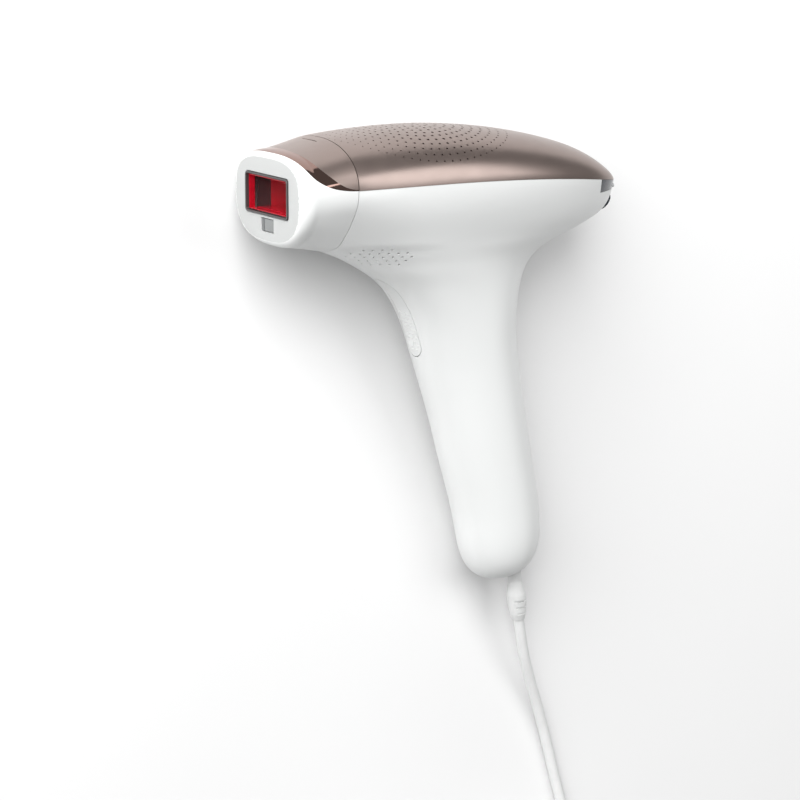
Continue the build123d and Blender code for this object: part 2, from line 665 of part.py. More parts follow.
def lead_pieces():
    """The lead and its adapter, in the resting frame."""
    sleeve_end = Vector(*EXIT) + Vector(*LEAD_DIRECTION).normalized() * SLEEVE_LENGTH
    start = (REST * Pos(*sleeve_end)).position
    return {
        "cord": tube([tuple(start), *LEAD_ROUTE], "cord"),
        "cord_coil": cord_coil(),
        "cord_tail": tube(TAIL_ROUTE, "cord_tail"),
        "coil_tie": coil_tie(),
        "adapter_body": adapter_body(),
        "adapter_relief": adapter_relief(),
        "adapter_pins": adapter_pins(),
    }


def save(name, shape, location=Location()):
    if isinstance(shape, list):
        shape = Compound(children=[location * s for s in shape])
    else:
        shape = location * shape
    export_step(shape, f"parts/{name}.step")


os.makedirs("parts", exist_ok=True)
for piece, form in device_pieces().items():
    save(piece, form, REST)
for piece, form in lead_pieces().items():
    save(piece, form)
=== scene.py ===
import json
import math

import bmesh
import bpy
import numpy as np
from mathutils import Matrix, Vector
from mathutils.bvhtree import BVHTree


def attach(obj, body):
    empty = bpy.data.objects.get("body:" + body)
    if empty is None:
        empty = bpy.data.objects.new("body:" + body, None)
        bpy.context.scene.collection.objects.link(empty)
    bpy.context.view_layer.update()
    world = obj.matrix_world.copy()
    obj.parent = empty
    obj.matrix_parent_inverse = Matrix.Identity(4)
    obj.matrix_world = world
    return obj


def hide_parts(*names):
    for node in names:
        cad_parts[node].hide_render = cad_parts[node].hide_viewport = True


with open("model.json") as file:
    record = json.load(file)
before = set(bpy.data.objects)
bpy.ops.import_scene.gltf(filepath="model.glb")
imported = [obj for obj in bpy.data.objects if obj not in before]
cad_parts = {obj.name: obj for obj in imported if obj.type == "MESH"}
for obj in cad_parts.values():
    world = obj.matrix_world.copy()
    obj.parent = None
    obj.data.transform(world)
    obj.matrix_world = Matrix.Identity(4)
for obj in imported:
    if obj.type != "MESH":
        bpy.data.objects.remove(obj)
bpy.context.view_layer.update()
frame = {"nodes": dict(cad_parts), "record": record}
NODES = frame["nodes"]

# Shapes are worked out in the device's own frame, in millimetres: origin at the centre of
# the light window, X to the rear along the head, Y up towards the cover, Z sideways.
MM = 0.001
REST_TILT = math.radians(6.335)
REST_SHIFT = np.array([-81.5, 72.157, 32.93])
TILT = np.array([[1, 0, 0],
                 [0, math.cos(REST_TILT), -math.sin(REST_TILT)],
                 [0, math.sin(REST_TILT), math.cos(REST_TILT)]])


def row(points):
    """Device points in millimetres to the row frame in metres."""
    return (np.asarray(points, float) @ TILT.T + REST_SHIFT) * MM


def device(point):
    """A row point in metres back to device millimetres."""
    return (np.array(point) / MM - REST_SHIFT) @ TILT


# ---------------------------------------------------------------- camera
CAMERA_PLACE = (-0.6685, 0.1230, 1.1091)
CAMERA_RIGHT = (0.85404, -0.05740, 0.51702)
CAMERA_UP = (0.10542, 0.99236, -0.06396)
CAMERA_BACK = (-0.50941, 0.10913, 0.85357)
CAMERA_LENS = 140.4


def make_camera():
    data = bpy.data.cameras.new("camera")
    data.lens = CAMERA_LENS
    data.clip_end = 20
    camera = bpy.data.objects.new("camera", data)
    turn = Matrix([CAMERA_RIGHT, CAMERA_UP, CAMERA_BACK]).transposed().to_4x4()
    camera.matrix_world = Matrix.Translation(Vector(CAMERA_PLACE)) @ turn
    bpy.context.scene.collection.objects.link(camera)
    bpy.context.scene.camera = camera


make_camera()


# ---------------------------------------------------------------- materials
WEAR_RATIO = 4                # roughness drifts in patches this many times finer than the colour's
NOISE_SPAN = (0.3, 0.7)       # nearly all the values of a noise lie in here
GRAIN_STRENGTH = 0.6


def node(tree, kind, **inputs):
    made = tree.nodes.new(kind)
    for key, value in inputs.items():
        made.inputs[key.replace("_", " ")].default_value = value
    return made


def noise(tree, scale, detail):
    """Noise over object space, scale in features per metre."""
    place = tree.nodes.new("ShaderNodeTexCoord")
    made = node(tree, "ShaderNodeTexNoise", Scale=scale, Detail=detail)
    tree.links.new(place.outputs["Object"], made.inputs["Vector"])
    return made.outputs["Fac"]


def between(tree, value, low, high):
    """A noise's values spread from low to high."""
    start, end = NOISE_SPAN
    made = node(tree, "ShaderNodeMapRange", From_Min=start, From_Max=end, To_Min=low, To_Max=high)
    tree.links.new(value, made.inputs["Value"])
    return made.outputs["Result"]


def mixed(tree, factor, first, second):
    """From the first colour to the second as factor goes from 0 to 1."""
    made = tree.nodes.new("ShaderNodeMix")
    made.data_type = "RGBA"
    factor_in, first_in, second_in = (made.inputs[k] for k in (0, 6, 7))
    tree.links.new(factor, factor_in)
    first_in.default_value = (*first, 1)
    second_in.default_value = (*second, 1)
    return made.outputs[2]


def surface(name, colour, rough, metallic=0.0, tint=None, patch=60, grain=2500, grain_depth=0.0, **extra):
    """Principled material whose colour drifts to tint and whose roughness drifts within rough.

    patch and grain are features per metre; grain_depth is the height of a fine moulded grain in
    millimetres. Other names are sockets of the shader.
    """
    made = bpy.data.materials.new(name)
    made.use_nodes = True
    tree = made.node_tree
    shader = tree.nodes["Principled BSDF"]
    shader.inputs["Metallic"].default_value = metallic
    for key, value in extra.items():
        shader.inputs[key.replace("_", " ")].default_value = value
    drift = noise(tree, patch, 3.0)
    tint = tint or tuple(c * 0.95 for c in colour)
    colours = mixed(tree, between(tree, drift, 0, 1), colour, tint)
    tree.links.new(colours, shader.inputs["Base Color"])
    wear = between(tree, noise(tree, patch * WEAR_RATIO, 4.0), *rough)
    tree.links.new(wear, shader.inputs["Roughness"])
    if grain_depth:
        bump = node(tree, "ShaderNodeBump", Strength=GRAIN_STRENGTH, Distance=grain_depth * MM)
        tree.links.new(noise(tree, grain, 2.0), bump.inputs["Height"])
        tree.links.new(bump.outputs["Normal"], shader.inputs["Normal"])
    return made


WHITE = surface("satin_white_plastic", (0.745, 0.755, 0.75), (0.285, 0.32), tint=(0.738, 0.748, 0.743),
                patch=20)
# A more matt copy of the white plastic darkened to grey: painted shade for the treatment face, which gets
# less light.
FACE_PAINTED_SHADE = surface("white_plastic_painted_shade", (0.50, 0.51, 0.505), (0.45, 0.5), tint=(0.495, 0.505, 0.50),
                     patch=20)
LACQUER = surface("rose_taupe_lacquer", (0.335, 0.268, 0.244), (0.30, 0.34), metallic=0.92, patch=40,
                  tint=(0.325, 0.26, 0.236), grain=1600, grain_depth=0.0006)
ROSE = surface("polished_rose_trim", (0.33, 0.216, 0.186), (0.05, 0.08), metallic=1.0, patch=30)
PANEL = surface("dark_panel_plastic", (0.03, 0.036, 0.046), (0.12, 0.18), patch=90, Coat_Weight=0.3)
FRAME_DARK = surface("dark_window_frame", (0.10, 0.095, 0.095), (0.3, 0.4), patch=120, metallic=0.5)
SENSOR = surface("grey_sensor_window", (0.23, 0.24, 0.24), (0.16, 0.24), patch=160)
# Darker grey: painted shade where the sensor's recess wall lies in shadow.
SENSOR_PAINTED_SHADE = surface("sensor_painted_shade", (0.15, 0.155, 0.16), (0.16, 0.24), patch=160)
RED = surface("red_filter_wall", (0.75, 0.012, 0.035), (0.10, 0.2), patch=260, metallic=0.3,
              tint=(0.55, 0.008, 0.024))
RED_GLASS = surface("red_filter_glass", (0.8, 0.2, 0.2), (0.02, 0.04), patch=60, Alpha=0.015)
INNER = surface("grey_moulded_plastic", (0.30, 0.31, 0.33), (0.45, 0.6), grain_depth=0.02)
BLACK = surface("black_moulded_plastic", (0.02, 0.02, 0.022), (0.4, 0.55), grain_depth=0.01)
# Near black: painted shade for the inside of the device seen through the vents.
VENT_PAINTED_SHADE = surface("vent_painted_shade", (0.05, 0.045, 0.045), (0.7, 0.85), grain_depth=0.02)
BOARD = surface("green_circuit_board", (0.03, 0.16, 0.07), (0.3, 0.45), patch=300, tint=(0.02, 0.11, 0.05))
ALUMINIUM = surface("plain_aluminium", (0.72, 0.73, 0.74), (0.3, 0.45), metallic=1.0, patch=200,
                    grain_depth=0.01)
STEEL = surface("plated_steel", (0.55, 0.55, 0.57), (0.29, 0.36), metallic=1.0, patch=260,
                grain_depth=0.006)
COPPER = surface("enamelled_copper_wire", (0.62, 0.27, 0.12), (0.3, 0.42), metallic=0.8, patch=300)
MIRROR = surface("bright_reflector", (0.9, 0.9, 0.9), (0.05, 0.09), metallic=1.0, patch=90)
RUBBER = surface("white_sleeve_rubber", (0.70, 0.705, 0.70), (0.34, 0.42), patch=220, grain_depth=0.003)
JACKET = surface("white_lead_jacket", (0.72, 0.725, 0.72), (0.3, 0.38), patch=220, grain=2600,
                 grain_depth=0.002)
NICKEL = surface("nickel_plated_pin", (0.78, 0.77, 0.74), (0.12, 0.2), metallic=1.0, patch=200)
CLEAR = surface("clear_glass", (0.92, 0.95, 0.96), (0.02, 0.04), patch=60, Alpha=0.2)
PIPE = surface("clear_light_pipe", (0.75, 0.77, 0.77), (0.12, 0.2), patch=160, Transmission_Weight=0.4)


# ---------------------------------------------------------------- lead
CORD_R = 2.3
COIL_CENTRE = (39.4, -243.0)
# Radius and height of each turn of the coil, from the outside of the bottom layer.
COIL_TURNS = [(30.2, 2.4), (25.5, 2.4), (20.8, 2.4), (20.8, 7.1), (25.5, 7.1), (30.2, 7.1),
              (30.2, 11.8), (25.5, 11.8), (20.8, 11.8), (23.1, 15.95), (27.9, 15.95)]
TURN_POINTS = 16
EASE_FROM = 0.55   # the share of a turn after which it moves over to the next one
# Where the lead leaves its strain relief, then the places it goes through, in millimetres.
LEAD_START = row([119.937, -189.641, 0.0]) / MM
LEAD_ROUTE = [
    (41.0, -130.5, 9.7),
    (45.9, -144.5, 6.7),
    (51.0, -158.5, 4.2),
    (55.0, -172.5, 2.8),
    (58.2, -187.5, 2.4),
    (61.6, -202.5, 2.4),
    (65.2, -217.2, 2.4),
    (68.4, -230.8, 2.4),
]
TAIL_ROUTE = [(28.0, -271.4, 15.95), (16.5, -271.3, 15.5), (5.0, -270.5, 14.2)]


def coil_points():
    """Clockwise turns, each easing over to the next one's radius and height as it closes."""
    points = []
    quarter = TURN_POINTS // 4
    for k, (radius, height) in enumerate(COIL_TURNS):
        last = k == len(COIL_TURNS) - 1
        for i in range(quarter + 1 if last else TURN_POINTS):
            share = 0 if last else np.clip((i / TURN_POINTS - EASE_FROM) / (1 - EASE_FROM), 0, 1)
            ease = share * share * (3 - 2 * share)
            after = COIL_TURNS[min(k + 1, len(COIL_TURNS) - 1)]
            r = radius + (after[0] - radius) * ease
            angle = -2 * math.pi * i / TURN_POINTS
            points.append((COIL_CENTRE[0] + r * math.cos(angle),
                           COIL_CENTRE[1] + r * math.sin(angle),
                           height + (after[1] - height) * ease))
    return points


def make_lead():
    data = bpy.data.curves.new("lead", "CURVE")
    data.dimensions = "3D"
    data.bevel_depth = CORD_R * MM
    data.bevel_resolution = 5
    data.resolution_u = 6
    data.use_fill_caps = True
    route = [tuple(LEAD_START), *LEAD_ROUTE, *coil_points(), *TAIL_ROUTE]
    spline = data.splines.new("NURBS")
    spline.points.add(len(route) - 1)
    for point, place in zip(spline.points, route):
        point.co = (*(c * MM for c in place), 1)
    spline.order_u = 3
    spline.use_endpoint_u = True
    lead = bpy.data.objects.new("lead", data)
    bpy.context.scene.collection.objects.link(lead)
    data.materials.append(JACKET)
    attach(lead, "body")
    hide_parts("cord", "cord_coil", "cord_tail")


make_lead()

# ---------------------------------------------------------------- outline of the body
TIP_X = 163.4               # rear end of the head
SEAM_X = 23.0               # where the attachment meets the body
SEAM_TOP = 3.8              # height of the level part of the cover's seam
SEAM_DROP = 8.6             # how far the seam falls towards the tip
SEAM_LEVEL_END = 50.0
SEAM_FALL_LENGTH = 115.0    # from there to where the seam has fallen by SEAM_DROP
SEAM_FALL_POWER = 2.4
BODY_BOTTOM = -24.0         # underside of the head at SEAM_X
ARCH_POWER = 2 / 2.2        # the cover's sections are a little fuller than ellipses
# Half width, top and bottom of the attachment, on its face and behind its rim.
ATTACHMENT_GROWTH = [(24.4, 29.6), (14.4, 17.0), (-17.6, -20.4)]
RIM_R = 5.5
FLARE_POWER = 1.3           # how the attachment grows from its rim into the body's section
BLUNT_DEPTH = 7.0           # the face is blunter than the sections behind this depth
# Exponents of the attachment's sections above and below its seam, and what bluntness adds to them.
SECTION_POWERS = ((2.2, 0.8), (2.05, 0.75))
ATTACHMENT_BACK = 22.85
# The widest station of a slice, as a share of its depth, is nearer the front in the head.
WIDEST_GRIP, WIDEST_HEAD = 0.56, 0.385
WIDEST_LOW, WIDEST_HIGH = -60.0, -20.0   # it moves over between these heights
# Slices of the white body: height, front x, rear x, half width, bluntness of the front.
SLICES = [
    (8.0, -2.0, 163.4, 33.0, 4.5), (0.0, -2.0, 163.4, 33.0, 3.9), (-6.0, -1.0, 163.2, 32.2, 2.8),
    (-11.0, 1.0, 161.6, 30.8, 2.3), (-15.5, 4.5, 158.6, 29.2, 2.0), (-19.5, 9.6, 151.8, 27.8, 1.85),
    (-23.0, 20.2, 143.0, 26.6, 1.82), (-26.0, 28.2, 134.5, 25.6, 1.9), (-29.5, 36.0, 126.8, 24.5, 2.0),
    (-34.0, 44.2, 121.0, 23.4, 2.25), (-39.0, 52.0, 117.8, 22.3, 2.5), (-46.0, 59.0, 115.4, 21.2, 2.75),
    (-56.0, 64.0, 114.0, 20.2, 2.5), (-70.0, 68.0, 114.6, 19.2, 2.1), (-95.0, 75.8, 118.3, 18.2, 2.0),
    (-120.0, 82.8, 122.8, 17.5, 2.0), (-144.0, 89.2, 126.6, 16.8, 2.0), (-154.0, 91.2, 126.4, 16.0, 2.0),
    (-161.0, 93.6, 123.8, 14.2, 2.0), (-165.5, 96.6, 119.4, 11.2, 2.0), (-168.4, 101.0, 113.6, 6.4, 2.0),
    (-169.6, 106.2, 108.6, 1.2, 2.0),
]
# Ridge of the cover and of the attachment: x and height.
RIDGE = [(0, 14.4), (6, 17.2), (13, 19.6), (23, 21.7), (38, 23.2), (56, 24.0), (72, 23.8),
         (90, 22.4), (109, 19.6), (128.6, 15.0), (143, 9.9), (153, 4.4), (160, -0.9), (163.4, -4.6)]


def smooth_table(points, steps=3001):
    """Rows of numbers joined by a natural cubic spline over the distance between them."""
    rows = np.array(points, float)
    along = np.concatenate([[0], np.cumsum(np.linalg.norm(np.diff(rows[:, :4], axis=0), axis=1))])
    gap = np.diff(along)[:, None]
    count = len(rows)
    matrix = np.eye(count)
    right = np.zeros_like(rows)
    slope = np.diff(rows, axis=0) / gap
    for i in range(1, count - 1):
        matrix[i, i - 1:i + 2] = gap[i - 1, 0], 2 * (gap[i - 1, 0] + gap[i, 0]), gap[i, 0]
        right[i] = 6 * (slope[i] - slope[i - 1])
    bend = np.linalg.solve(matrix, right)
    at = np.linspace(0, along[-1], steps)
    k = np.clip(np.searchsorted(along, at) - 1, 0, count - 2)
    a, b, h = (along[k + 1] - at)[:, None], (at - along[k])[:, None], gap[k]
    return ((bend[k] * a**3 + bend[k + 1] * b**3) / (6 * h) + (rows[k] / h - bend[k] * h / 6) * a
            + (rows[k + 1] / h - bend[k + 1] * h / 6) * b)


SLICE_TABLE = smooth_table(SLICES)
RIDGE_TABLE = smooth_table(RIDGE)


def slice_at(y):
    """Front x, rear x, half width, front exponent and widest station of the slice at y."""
    heights = SLICE_TABLE[::-1, 0]
    front, rear, width, blunt = (np.interp(y, heights, SLICE_TABLE[::-1, k]) for k in (1, 2, 3, 4))
    rise = np.clip((np.asarray(y) - WIDEST_LOW) / (WIDEST_HIGH - WIDEST_LOW), 0, 1)
    share = WIDEST_GRIP - (WIDEST_GRIP - WIDEST_HEAD) * rise * rise * (3 - 2 * rise)
    return front, rear, width, blunt, front + (rear - front) * share


def oval(y, angle):
    """Points of the slice at y; angle 0 is its front, pi its rear."""
    front, rear, width, blunt, mid = slice_at(y)
    c, s = np.cos(angle), np.sin(angle)
    reach = np.where(c > 0, mid - front, rear - mid)
    power = 2 / np.where(c > 0, blunt, 2.0)
    x = mid - reach * np.sign(c) * np.abs(c) ** power
    return np.stack([x, np.broadcast_to(y, x.shape), width * np.sign(s) * np.abs(s) ** power], -1)


def half_width(x, y):
    """Half width of the body at a station and height."""
    front, rear, width, blunt, mid = slice_at(y)
    reach = np.where(x < mid, mid - front, rear - mid)
    power = np.where(x < mid, blunt, 2.0)
    return width * (1 - np.clip(np.abs(x - mid) / reach, 0, 1) ** power) ** (1 / power)


def seam_y(x):
    """Height of the cover's seam: level, then falling towards the tip."""
    fall = np.clip(np.asarray(x, float) - SEAM_LEVEL_END, 0, None) / SEAM_FALL_LENGTH
    return SEAM_TOP - SEAM_DROP * fall**SEAM_FALL_POWER


def ridge_y(x):
    return np.interp(x, RIDGE_TABLE[:, 0], RIDGE_TABLE[:, 1])


def arch(x, angle):
    """Points of the cover's section at x; angle 0 is the near seam, half pi the ridge."""
    low = seam_y(x)
    c, s = np.cos(angle), np.sin(angle)
    z = half_width(x, low) * np.sign(c) * np.abs(c) ** ARCH_POWER
    y = low + (ridge_y(x) - low) * np.abs(s) ** ARCH_POWER
    return np.stack([np.broadcast_to(x, z.shape), y, z], -1)


def attachment(x, angle):
    """Points of the attachment's section at x; angle -half pi is its bottom, 0 its side."""
    rim = np.sqrt(1 - (1 - np.clip(x / RIM_R, 0, 1)) ** 2)
    flare = np.clip(x / SEAM_X, 0, 1) ** FLARE_POWER
    blunt = np.clip(1 - x / BLUNT_DEPTH, 0, None)
    side, top, bottom = (face + (shoulder - face) * rim for face, shoulder in ATTACHMENT_GROWTH)
    top = top + (ridge_y(SEAM_X) - top) * flare
    bottom = bottom + (BODY_BOTTOM - bottom) * flare
    centre = SEAM_TOP * np.clip(x / SEAM_X, 0, 1) ** 0.5
    c, s = np.cos(angle), np.sin(angle)
    above, below = (plain + added * blunt for plain, added in SECTION_POWERS)
    power = 2 / np.where(s > 0, above, below)
    across, up = np.abs(c) ** power, np.sign(s) * np.abs(s) ** power
    body_z = half_width(SEAM_X, SEAM_TOP + np.minimum(up, 0) * (SEAM_TOP - BODY_BOTTOM))
    body_z = np.where(up > 0, body_z * across, body_z)
    z = (side * across * (1 - flare) + body_z * flare) * np.where(c < 0, -1, 1)
    y = centre + up * np.where(up > 0, top - centre, centre - bottom)
    return np.stack([np.broadcast_to(x, z.shape), y, z], -1)


# ---------------------------------------------------------------- mesh helpers
CREASE = math.radians(30)   # edges sharper than this stay crisp
WELD = 2e-6                 # vertices of a CAD mesh nearer than this, in metres, are one
SLIVER = 1e-7
GUIDE_REACH = 0.5           # a vertex this near to a reference surface takes its shading
GUIDE_AGREE = 0.82          # cosine above which a face counts as lying along that surface
PEG_SIDES = 10


def mesh_object(name, vertices, faces, material=None):
    mesh = bpy.data.meshes.new(name)
    mesh.from_pydata([tuple(v) for v in vertices], [], faces)
    mesh.validate()
    made = bpy.data.objects.new(name, mesh)
    bpy.context.scene.collection.objects.link(made)
    if material:
        mesh.materials.append(material)
    return made


def object_of(name, edit, material):
    """An object made of a finished bmesh."""
    mesh = bpy.data.meshes.new(name)
    edit.to_mesh(mesh)
    edit.free()
    mesh.materials.append(material)
    made = bpy.data.objects.new(name, mesh)
    bpy.context.scene.collection.objects.link(made)
    return made


def face_outwards(made):
    """Point every face of a closed mesh outwards."""
    edit = bmesh.new()
    edit.from_mesh(made.data)
    bmesh.ops.recalc_face_normals(edit, faces=edit.faces)
    edit.to_mesh(made.data)
    edit.free()


def shade(made):
    """Smooth shading with crisp edges."""
    made.data.shade_smooth()
    made.data.set_sharp_from_angle(angle=CREASE)


def grid_normals(grid):
    """Unit normals of a grid of surface points, rows by columns."""
    normal = np.cross(np.gradient(grid, axis=0), np.gradient(grid, axis=1))
    length = np.linalg.norm(normal, axis=2, keepdims=True)
    return normal / np.maximum(length, 1e-12)


def grid_indices(grid):
    """Indices of the corners of each cell of a grid of points, going round the cell."""
    rows, columns = grid.shape[:2]
    at = np.arange(rows * columns).reshape(rows, columns)
    return at, np.stack([at[:-1, :-1], at[1:, :-1], at[1:, 1:], at[:-1, 1:]], -1).reshape(-1, 4)


class Guide:
    """A smooth reference surface that pieces lying on it take their shading from."""

    def __init__(self, grid):
        self.vertices = row(grid.reshape(-1, 3))
        self.normals = grid_normals(grid).reshape(-1, 3) @ TILT.T
        cells = grid_indices(grid)[1]
        self.triangles = np.concatenate([cells[:, [0, 1, 2]], cells[:, [0, 2, 3]]])
        self.tree = BVHTree.FromPolygons(self.vertices.tolist(), self.triangles.tolist())

    def normal_at(self, point, reach):
        """Normal at the nearest place within reach metres, or None."""
        place, _, index, _ = self.tree.find_nearest(Vector(point), reach)
        if place is None:
            return None
        a, b, c = self.vertices[self.triangles[index]]
        p = np.array(place)
        areas = [np.linalg.norm(np.cross(q - p, r - p)) for q, r in ((b, c), (c, a), (a, b))]
        total = sum(areas)
        if total < 1e-16:
            return None
        mix = sum(w * n for w, n in zip(areas, self.normals[self.triangles[index]])) / total
        return mix / np.linalg.norm(mix)

    def polish(self, piece):
        """Give what lies on the reference surface its shading, and leave the rest as it is."""
        mesh = piece.data
        count = len(mesh.loops)
        corners = np.zeros(count * 3, np.float32)
        mesh.corner_normals.foreach_get("vector", corners)
        corners = corners.reshape(-1, 3).astype(float)
        found = [self.normal_at(v.co, GUIDE_REACH * MM) for v in mesh.vertices]
        for face in mesh.polygons:
            normal = np.array(face.normal)
            for loop in face.loop_indices:
                guide = found[mesh.loops[loop].vertex_index]
                if guide is not None and float(normal @ guide) > GUIDE_AGREE:
                    corners[loop] = guide
        mesh.normals_split_custom_set([tuple(n) for n in corners])


def cad_copy(node_name, body, material):
    """A free, welded copy of a CAD node, which stands for it."""
    mesh = NODES[node_name].data
    vertices = [tuple(v.co) for v in mesh.vertices]
    faces = [list(p.vertices) for p in mesh.polygons]
    made = mesh_object(node_name + "_skin", vertices, faces, material)
    edit = bmesh.new()
    edit.from_mesh(made.data)
    bmesh.ops.remove_doubles(edit, verts=edit.verts, dist=WELD)
    bmesh.ops.dissolve_degenerate(edit, edges=edit.edges, dist=SLIVER)
    edit.to_mesh(made.data)
    edit.free()
    shade(made)
    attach(made, body)
    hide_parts(node_name)
    return made


def carve(piece, cutter):
    """Take the cutter's volume away from the piece and remove the cutter."""
    change = piece.modifiers.new("carve", "BOOLEAN")
    change.operation = "DIFFERENCE"
    change.solver = "EXACT"
    change.object = cutter
    bpy.context.view_layer.update()
    cut = bpy.data.meshes.new_from_object(piece.evaluated_get(bpy.context.evaluated_depsgraph_get()))
    piece.modifiers.clear()
    old = piece.data
    piece.data = cut
    cut.name = piece.name
    bpy.data.meshes.remove(old)
    bpy.data.objects.remove(cutter)


def pegs(name, places, outward, radii, high, low):
    """Separate straight pegs on the places, from low to high along their outward directions."""
    vertices, faces = [], []
    for place, out, radius in zip(places, outward, radii):
        out = Vector(out).normalized()
        side = out.orthogonal().normalized()
        other = out.cross(side)
        start = len(vertices)
        for level in (low, high):
            for i in range(PEG_SIDES):
                turn = 2 * math.pi * i / PEG_SIDES
                spoke = side * math.cos(turn) + other * math.sin(turn)
                vertices.append(Vector(place) + (spoke * radius + out * level) * MM)
        ring = list(range(start, start + PEG_SIDES))
        faces.append(ring[::-1])
        faces.append([i + PEG_SIDES for i in ring])
        faces += [[a, b, b + PEG_SIDES, a + PEG_SIDES] for a, b in zip(ring, ring[1:] + ring[:1])]
    return mesh_object(name, vertices, faces)


# ---------------------------------------------------------------- reference surfaces
def body_grid():
    heights = SLICE_TABLE[::20, 0]
    angles = np.linspace(0, 2 * math.pi, 361)
    return np.array([oval(y, angles) for y in heights])


def cover_grid():
    stations = SEAM_X + (TIP_X - SEAM_X) * np.sin(np.linspace(0, 0.998, 160) * math.pi / 2)
    return np.array([arch(x, np.linspace(0, math.pi, 181)) for x in stations])


def attachment_grid():
    stations = ATTACHMENT_BACK * np.linspace(0, 1, 90) ** 2
    return np.array([attachment(x, np.linspace(-math.pi / 2, 1.5 * math.pi, 361)) for x in stations])


BODY = Guide(body_grid()[:, ::-1])
COVER = Guide(cover_grid())
ATTACHMENT = Guide(attachment_grid())


# ---------------------------------------------------------------- vents
FIND_REACH = 0.01    # metres, for a place that is known to lie on a reference surface


def on_guide(guide, points):
    """Nearest places on a reference surface, and its outward directions there."""
    places, outs = [], []
    for p in points:
        place = guide.tree.find_nearest(Vector(p))[0]
        places.append(place)
        outs.append(guide.normal_at(place, FIND_REACH))
    return places, outs


VENT_CENTRE = 65.0                    # x of the middle of the field of vents
VENT_LENGTH, VENT_WIDTH = 42.0, 34.0  # half its length, and half its width along the arch
VENT_RINGS = 11
VENT_PITCH = 3.3
VENT_DEPTH = 3.0                      # how far the cutting pegs reach below the surface
VENT_SMALL, VENT_GROWTH = 0.42, 0.2   # radius of the front vents, and how much it grows to the rear
VENT_GROW_FROM, VENT_GROW_LENGTH = 30.0, 35.0
RINGS_FULL, RIM_SHRINK = 7, 0.4       # the rings outside this one shrink, by this share at the last


def cover_point(x, sideways):
    """Point on the cover at x, a given length along the arch from the ridge."""
    line = arch(x, np.linspace(0, math.pi, 401))
    along = np.concatenate([[0], np.cumsum(np.linalg.norm(np.diff(line, axis=0), axis=1))])
    along -= along[200]
    return np.array([np.interp(sideways, along, line[:, k]) for k in range(3)])


def top_vents():
    """Nested elliptical rings of holes in the cover, finer towards the front."""
    points, radii = [], []
    for ring in range(1, VENT_RINGS + 1):
        a, b = VENT_LENGTH * ring / VENT_RINGS, VENT_WIDTH * ring / VENT_RINGS
        round_length = math.pi * (3 * (a + b) - math.sqrt((3 * a + b) * (a + 3 * b)))
        count = 2 * max(3, round(round_length / VENT_PITCH / 2))
        for i in range(count):
            angle = 2 * math.pi * (i + 0.5 * (ring % 2)) / count
            x = VENT_CENTRE + a * math.cos(angle)
            points.append(cover_point(x, b * math.sin(angle)))
            full = 1 - np.clip((ring - RINGS_FULL) / (VENT_RINGS - RINGS_FULL), 0, 1) * RIM_SHRINK
            growth = VENT_GROWTH * np.clip((x - VENT_GROW_FROM) / VENT_GROW_LENGTH, 0, 1)
            radii.append((VENT_SMALL + growth) * full)
    return row(points), radii


# Rows of chin vents: height, and first and last hole by the distance round from the front.
CHIN_ROWS = [(-22.3, 24.0, 38.5), (-24.0, 15.0, 38.5), (-25.7, 0.0, 38.5), (-27.4, 0.0, 33.0),
             (-29.1, 6.0, 26.5)]
CHIN_PITCH = 3.8
CHIN_DEPTH = 3.4
CHIN_FRONT = 28.0    # no hole is further forward than this
CHIN_SMALL, CHIN_GROWTH, CHIN_GROW_LENGTH = 0.3, 0.25, 28.0
PEG_TOP = 1.0        # how far the cutting pegs stand out of the surface
SHADE_SHEET_THICKNESS = 0.3
# The near-black sheets behind the vents, painted shade for the inside seen through the holes: how deep they
# lie, how far they reach, and a point inside of each.
TOP_SHEET_DEPTH, TOP_SHEET_X, TOP_SHEET_HALF_WIDTH = 2.0, (26.5, 106), 36
CHIN_SHEET_DEPTH, CHIN_SHEET_Y, CHIN_SHEET_TURN = 2.15, (-30.6, -27.2), 1.25
UNDER_COVER, ABOVE_CHIN = (65, -10, 0), (75, -15, 0)


def chin_vents():
    """Staggered rows of holes under the chin, finer towards the front."""
    points, radii = [], []
    angles = np.linspace(0, math.pi, 800)
    for k, (y, first, last) in enumerate(CHIN_ROWS):
        line = oval(y, angles)
        along = np.concatenate([[0], np.cumsum(np.linalg.norm(np.diff(line, axis=0), axis=1))])
        for u in np.arange(0.5 * (1 - k % 2), 12) * CHIN_PITCH:
            place = np.array([np.interp(u, along, line[:, j]) for j in range(3)])
            if not first <= u <= last or place[0] < CHIN_FRONT:
                continue
            for side in (1,) if u == 0 else (1, -1):
                points.append(place * (1, 1, side))
                radii.append(CHIN_SMALL + CHIN_GROWTH * np.clip(u / CHIN_GROW_LENGTH, 0, 1))
    return row(points), radii


def shade_sheet(name, grid, inset, inside):
    """Thin near-black sheet of painted shade along a grid of surface points, on the side that the point
    inside is on.
    """
    normal = grid_normals(grid)
    normal *= np.sign(np.sum(normal * (grid - np.array(inside)), axis=2, keepdims=True))
    outer = row((grid - normal * inset).reshape(-1, 3))
    inner = row((grid - normal * (inset + SHADE_SHEET_THICKNESS)).reshape(-1, 3))
    at, quads = grid_indices(grid)
    count = at.size
    rim = [*at[0, :-1], *at[:-1, -1], *at[-1, :0:-1], *at[:0:-1, 0]]
    edges = [[a, b, b + count, a + count] for a, b in zip(rim, rim[1:] + rim[:1])]
    faces = quads.tolist() + (quads[:, ::-1] + count).tolist() + edges
    made = mesh_object(name, np.concatenate([outer, inner]), faces, VENT_PAINTED_SHADE)
    face_outwards(made)
    made.data.shade_smooth()
    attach(made, "body")


